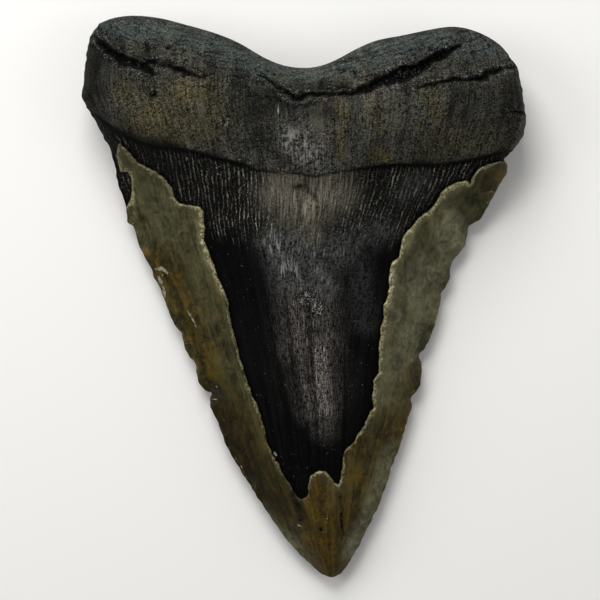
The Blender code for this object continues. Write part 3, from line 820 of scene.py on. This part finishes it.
# painted glints: bright flecks on the flutes, strongest inside the painted sheen
painted_glints = on_flutes.rise(0.53, 0.62) * (0.4 + painted_sheen.rise(0.5, 0.8) * 0.5)
painted_sheen_colour = blend((flutes * 0.55 + grit * 0.45).rise(0.42, 0.62), *PAINTED_SHEEN)
dentine = layered(
    blend(broad_flutes.rise(0.38, 0.68), *JET),
    (on_flutes.rise(0.57, 0.68) * 0.45, JET_FLECK),
    ((painted_sheen * (broad_flutes * 3.4 - 0.8)).clipped(), blend(painted_glints, painted_sheen_colour, PAINTED_GLINT)),
)
tell("black dentine")

# %% [markdown]
# Over the black lie three patches: the ridged band, a dusky bluish one in the upper middle, and a worn pale
# one that runs up to the neck, where faint grooves of the same sine still show.

# %% Lay the ridges, the dusky patch and the worn patch over it
BAND_FLOOR, LOW_CREST, CREST = ((3, 3, 3), (30, 29, 26)), (58, 56, 49), (150, 148, 135)
DUSKY, WISP = ((14, 15, 15), (86, 88, 85)), (124, 124, 120)
WORN, WORN_GROOVE, WORN_TAN = ((38, 35, 29), (134, 129, 113)), (16, 15, 13), (94, 81, 74)

flecks = grain(1.1, 3.4, 0.72, 0.6)
wisps = grain(0.7, 5, 0.7, 0.3, detail=3.0).rise(0.54, 0.62) * dusk.rise(0.5, 0.85)
dusky = blend((flecks * 0.4 + grit * 0.6).rise(0.42, 0.60), *DUSKY)
worn = layered(
    blend((thin_streaks * 0.6 + grit * 0.4).rise(0.40, 0.60), *WORN),
    (wave.rise(-0.45, -0.95) * 0.45, WORN_GROOVE),
    (drift.rise(0.48, 0.60) * 0.35, WORN_TAN),
)
worn_reach = inside.rise(2.0, 5.0).at_least(from_middle.rise(20.0, 8.0) * from_neck.rise(-8.0, -5.0))
dentine = layered(
    dentine,
    (ridge_band * 0.85, blend(grit.rise(0.46, 0.66), *BAND_FLOOR)),
    (low_crests * 0.45, LOW_CREST),
    (crests * 0.75, CREST),
    ((dusk * (haze * 1.5 + 0.2)).clipped(), dusky),
    (wisps * 0.75, WISP),
    ((pale * (0.35 + streaks * 1.2) * worn_reach).clipped(), worn),
)
tell("patches")

# %% Add the pitted spot, the painted glints and the painted shade under the ledge
PIT, PIT_RIM, LEDGE_SHADE = (8, 8, 8), (156, 154, 147), (4, 4, 4)
PAINTED_DENTINE_GLINT, STAR = (160, 157, 146), (130, 128, 120)

pitting = speckle * 0.45 + fine * 0.55
stars = cloud(1.1, 0.8, detail=3.0).rise(0.68, 0.72)
shadow_line = inside.rise(1.5, 0.4).at_least(from_neck.rise(-1.6, -0.7))
shadow_line = shadow_line * from_middle.rise(5.0, 20.0).at_least(from_neck.rise(-2.4, -3.2))
dentine = layered(
    dentine,
    (sparkle.rise(0.1, 0.6) * pitting.rise(0.54, 0.46) * 0.8, PIT),
    (sparkle.rise(0.1, 0.5) * pitting.rise(0.54, 0.62), PIT_RIM),
    (painted_glint_specks * (0.03 + ridge_band * 0.8), PAINTED_DENTINE_GLINT),
    (stars * 0.6, STAR),
    (shadow_line * 0.8, LEDGE_SHADE),
)
dentine_roughness = 0.42 + flutes * 0.20 + ridge_band * 0.10
dentine_height = flutes * 0.10 + broad_flutes * 0.12 + crests * 0.30 + grit * 0.08 + flecks * dusk * 0.3
tell("whole dentine")

# %% [markdown]
# ## The root
#
# The root is bone-like: matt, dark grey and gritty, with fine vertical scratches. Noise of three sizes gives
# the grit, stretched noise gives the scratches, and small Voronoi cells, sunk where they are narrow, give the
# pores. Above the crease the bone lies in thin layers, so there the scratches give way to noise that is
# stretched along the crease, and thin cracks run at set distances from it.

# %% Mix the grit, the pores and the thin cracks of the bone
LAYER_CRACKS = (-2.2, 1.4, 4.6)  # how far beyond the crease each thin crack runs, in mm

layer_place = fossil.node("ShaderNodeCombineXYZ", None, {"X": x_mm * 0.16, "Y": from_crease * 1.4})
layers = fossil.noise(layer_place, 1.0, 4.0, 0.68, 0.5)
over_rim = (from_crease + shake).rise(-0.5, 2.5)
scratches = thin_streaks * (1 - over_rim) + layers * over_rim
coarse = (fine * 0.24 + grit * 0.30 + speckle * 0.20 + scratches * 0.26).rise(0.42, 0.60)
pores = fossil.node("ShaderNodeTexVoronoi", None, {"Vector": mm_place, "Scale": 0.8, "Randomness": 1.0})
pore_mask = pores.rise(0.22, 0.12) * blotch.rise(0.42, 0.60)
wander = from_crease + (cloud(0.13, 0.65) - 0.5) * 13.0
first, second, third = ((wander - gap).absolute().rise(0.30, 0.08) for gap in LAYER_CRACKS)
thin_cracks = first.at_least(second).at_least(third)
thin_cracks = thin_cracks * from_crease.rise(-5.0, -2.5) * from_crease.rise(9.0, 6.0)
thin_cracks = thin_cracks * cloud(0.22, detail=2.0).rise(0.46, 0.54)
tell("grit of the bone")

# %% [markdown]
# Each colour of the bone has a dark and a light end, and the same grit blends every pair, so a stain or a
# worn spot keeps the texture under it. Tan stains lie on the left lobe. A bluish painted highlight lies over
# the rolled top. Below the crease the pale spots are rubbed grey and scored, and a painted highlight runs
# down the root's right edge.

# %% Colour the bone
BONE_COLOURS = [  # plain, greener, tawnier, stained tan, painted top highlight, rubbed below the crease and painted edge highlight
    ((10, 10, 9), (82, 82, 75)), ((16, 17, 7), (84, 88, 60)),
    ((18, 13, 12), (94, 82, 76)), ((24, 21, 12), (107, 98, 65)),
    ((27, 32, 31), (82, 91, 89)), ((19, 19, 17), (93, 92, 87)),
]
DARK_BAND, PALE_BAND = (12, 12, 10), (100, 97, 84)
DARK_BLOTCH, SCORED = (14, 14, 12), (124, 123, 117)

bone, green_bone, tawny_bone, tan_bone, painted_top_highlight, rubbed_bone_and_edge_highlight = (
    blend(coarse, *ends) for ends in BONE_COLOURS
)
bands = grain(3.6, 55, 0.62)
below_crease = from_crease.rise(-3.0, -6.0)
scored = (thin_streaks * 0.45 + speckle * 0.40 + haze * 0.15).rise(0.47, 0.58) * pale.rise(0.35, 0.9)
scored = scored * below_crease * from_middle.rise(18.0, 10.0)
root = layered(
    bone,
    (drift.rise(0.51, 0.63) * 0.5, green_bone),
    (drift.rise(0.47, 0.36) * 0.5, tawny_bone),
    (bands.rise(0.50, 0.36) * 0.6, DARK_BAND),
    (bands.rise(0.54, 0.68) * 0.5, PALE_BAND),
    (blotch.rise(0.54, 0.38) * 0.5, DARK_BLOTCH),
    ((brown * (streaks * 2.2 - 0.25)).clipped(), tan_bone),
    # pale strokes: a painted highlight over the top and down the right edge, rubbed bone below the crease
    ((pale * (haze * 1.4 + 0.1)).clipped(), blend(below_crease, painted_top_highlight, rubbed_bone_and_edge_highlight)),
    (scored * 0.7, SCORED),
)
tell("colours of the bone")

# %% Sink the pores and add the painted glints
HOLLOW, PORE, GRIT_SHADE, PAINTED_BONE_GLINT, THIN_CRACK = (
    (9, 9, 8), (6, 6, 6), (7, 7, 7), (176, 173, 160), (5, 5, 5)
)

root = layered(
    root,
    (speckle.rise(0.44, 0.34) * 0.4, HOLLOW),
    (pore_mask * 0.7, PORE),
    (grit.rise(0.44, 0.30) * 0.5, GRIT_SHADE),
    (painted_glint_specks * (0.4 + thin_streaks * 0.6), PAINTED_BONE_GLINT),
    (thin_cracks * 0.85, THIN_CRACK),
)
root_roughness = 0.58 + speckle * 0.2
root_height = grit * 0.35 + speckle * 0.35 + scratches * 0.3 - pore_mask * 0.25 - thin_cracks * 0.35
tell("whole root")

# %% [markdown]
# ## The snapped rim, and putting it together
#
# Where the enamel snapped, its cut edge is paler than its face, because the fracture is rough. The rim is a
# band of set distances from the break, widened, narrowed and interrupted by noise. The deep cracks are made
# ragged the same way, and crumbs of paler bone lie along them.

# %% Mask the bare face, the rim and the cracks
beside_neck = from_neck.rise(-1.7, -1.1) * (1 - underside)
bare_face = (inside + shake * 0.3).rise(0.05, 0.25).at_least(beside_neck) * (1 - root_mask)
rim_gap = inside + shake * 0.9 + (haze - 0.5) * 3.0 + pale * 0.5 - brown * 0.5
rim = rim_gap.rise(-0.85, -0.25) * inside.rise(-2.2, -1.2) * (1 - bare_face)
rim = rim * from_neck.rise(-1.0, -2.2) * (1 - root_mask) * (0.7 + pale * 0.6 - brown * 0.3).clipped()
ragged_crack = in_crack_line + (haze - 0.5) * 2.4 + (speckle - 0.5) * 2.4 + (grit - 0.5) * 2.0
crack_grit = in_crack_line.rise(0.3, 1.2) * (speckle * 0.5 + grit * 0.5).rise(0.50, 0.60)
crack_line = ragged_crack.rise(-0.05, 0.22) * (1 - crack_grit * 0.30)
crack_crumbs = in_crack_line.rise(-1.6, -0.4) * (speckle * 0.4 + grit * 0.6).rise(0.54, 0.60) * root_mask
chip_mark = (in_chip_mark + shake * 0.6).rise(-0.04, 0.12)
neck_gap = from_neck + 0.2 + shake * 0.8 + (haze - 0.5) * 1.6
neck_line = neck_gap.absolute().rise(0.50, 0.15) * (1 - underside) * speckle.rise(0.38, 0.48)
tell("masks")

# %% [markdown]
# The finishes are laid over one another from the outside in: enamel, then the dentine where it is bare, the
# rim, and the root. The line of the neck, the dark strokes, the chips and the cracks come last, because they
# cross every finish.

# %% Lay the colours over one another
SNAPPED = (96, 89, 56), (180, 174, 140)
NECK_LINE, DARK_MARK_AND_SHADE, CRACK = (8, 7, 6), (8, 8, 7), (3, 3, 3)
CRUMB, CHIP = (160, 160, 152), (140, 140, 122)

rim_colour = blend((speckle * 0.5 + grit * 0.5).rise(0.42, 0.60), *SNAPPED)
colour = layered(
    enamel,
    (bare_face, dentine),
    (rim * 0.9, rim_colour),
    (root_mask, root),
    (neck_line * 0.75, NECK_LINE),
    # dark marks, with painted shadow along the neck at the left and on one facet of a fold
    ((dark * (speckle * 1.6 + haze * 1.4 - 0.7)).clipped(), DARK_MARK_AND_SHADE),
    (crack_crumbs * 0.7, CRUMB),
    ((chip_mark * (speckle * 1.6 + grit * 0.8 - 0.55)).clipped(), CHIP),
    (crack_line * 0.95, CRACK),
)
tell("whole colour")

# %% [markdown]
# The same masks mix the roughness and the bump. Only the enamel keeps a weak glaze, like old glass.

# %% Give the finish to the tooth
roughness = enamel_roughness * (1 - bare_face) + dentine_roughness * bare_face
roughness = (roughness + rim * 0.25) * (1 - root_mask) + root_roughness * root_mask
bump_height = enamel_height * (1 - bare_face) + dentine_height * bare_face
bump_height = (bump_height + rim * speckle * 0.15) * (1 - root_mask) + root_height * root_mask
bump_height = bump_height - crack_line * 0.6 + crack_crumbs * 0.25
bumped = fossil.node("ShaderNodeBump", None, {"Height": bump_height, "Distance": MM, "Strength": 1.0})
glaze = (1 - bare_face) * (1 - root_mask) * (1 - rim) * 0.10
fossil.plug(fossil.shader, {
    "Base Color": colour, "Roughness": roughness, "Normal": bumped, "Coat Weight": glaze,
    "Specular IOR Level": 0.03, "Coat Roughness": 0.26,
})
tooth_mesh.materials.append(fossil.material)
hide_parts("tooth")
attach(fossil_tooth, "root")
tell("tooth")

# %% [markdown]
# ## The studio
#
# The tooth lies on a plain pale floor. The main light is a wide soft panel beyond the root, as if from the
# top of the picture, so the rolled top of the root is the lightest part and the blade falls away darker.
# Two weak side panels keep the cutting edges from vanishing.

# %% Lay the floor
FLOOR_SIZE = 6.0

floor_sheet = bmesh.new()
bmesh.ops.create_grid(floor_sheet, x_segments=1, y_segments=1, size=FLOOR_SIZE / 2)
floor_mesh = bpy.data.meshes.new("floor")
floor_sheet.to_mesh(floor_mesh)
floor_sheet.free()
floor = bpy.data.objects.new("floor", floor_mesh)
bpy.context.scene.collection.objects.link(floor)
card = Bench("pale_card")
card.plug(card.shader, {"Base Color": tone(226, 225, 222), "Roughness": 0.9, "Specular IOR Level": 0.2})
floor_mesh.materials.append(card.material)
print("floor of", FLOOR_SIZE, "m")

# %% Hang the three panels
AIR_GREY, AIR_STRENGTH = 0.88, 0.34  # a little light from everywhere, so that no side is quite black
PANELS = {  # place in metres, size in metres, power in watts
    "panel_beyond_root": ((-0.16, 0.52, 0.46), 0.45, 5.4),
    "panel_left": ((-0.60, 0.10, 0.40), 0.40, 1.7),
    "panel_right": ((0.60, -0.05, 0.40), 0.45, 1.0),
}


def soft_panel(name, place, size, power):
    """A soft square light that faces the tooth."""
    panel = bpy.data.lights.new(name, "AREA")
    panel.shape, panel.size, panel.energy = "SQUARE", size, power
    light = bpy.data.objects.new(name, panel)
    bpy.context.scene.collection.objects.link(light)
    light.location = place
    light.rotation_euler = (-Vector(place)).to_track_quat("-Z", "Y").to_euler()


for name, (place, size, power) in PANELS.items():
    soft_panel(name, place, size, power)
world = bpy.data.worlds.new("studio_air")
world.use_nodes = True
air = world.node_tree.nodes["Background"].inputs
air["Color"].default_value = (AIR_GREY, AIR_GREY, AIR_GREY, 1)
air["Strength"].default_value = AIR_STRENGTH
bpy.context.scene.world = world
bpy.context.scene.view_settings.view_transform = "Standard"
print(len(PANELS), "panels")

# %% [markdown]
# A long lens from well above shows the tooth square on, with hardly any foreshortening. Its height follows
# from the width that the picture has to show, so the scale stays right if the lens is changed.

# %% Set the camera
CAMERA_LENS, SENSOR = 150.0, 36.0  # in mm
PICTURE_WIDTH = 0.150  # in metres, as the rest here
AIM = Vector((-0.0010, -0.0005, 0.008))  # the point in the middle of the picture

lens = bpy.data.cameras.new("camera")
lens.lens, lens.sensor_width = CAMERA_LENS, SENSOR
camera = bpy.data.objects.new("camera", lens)
camera.location = AIM + Vector((0, 0, PICTURE_WIDTH * CAMERA_LENS / SENSOR))
bpy.context.scene.collection.objects.link(camera)
bpy.context.scene.camera = camera
print("camera height", round(camera.location.z, 3), "m")
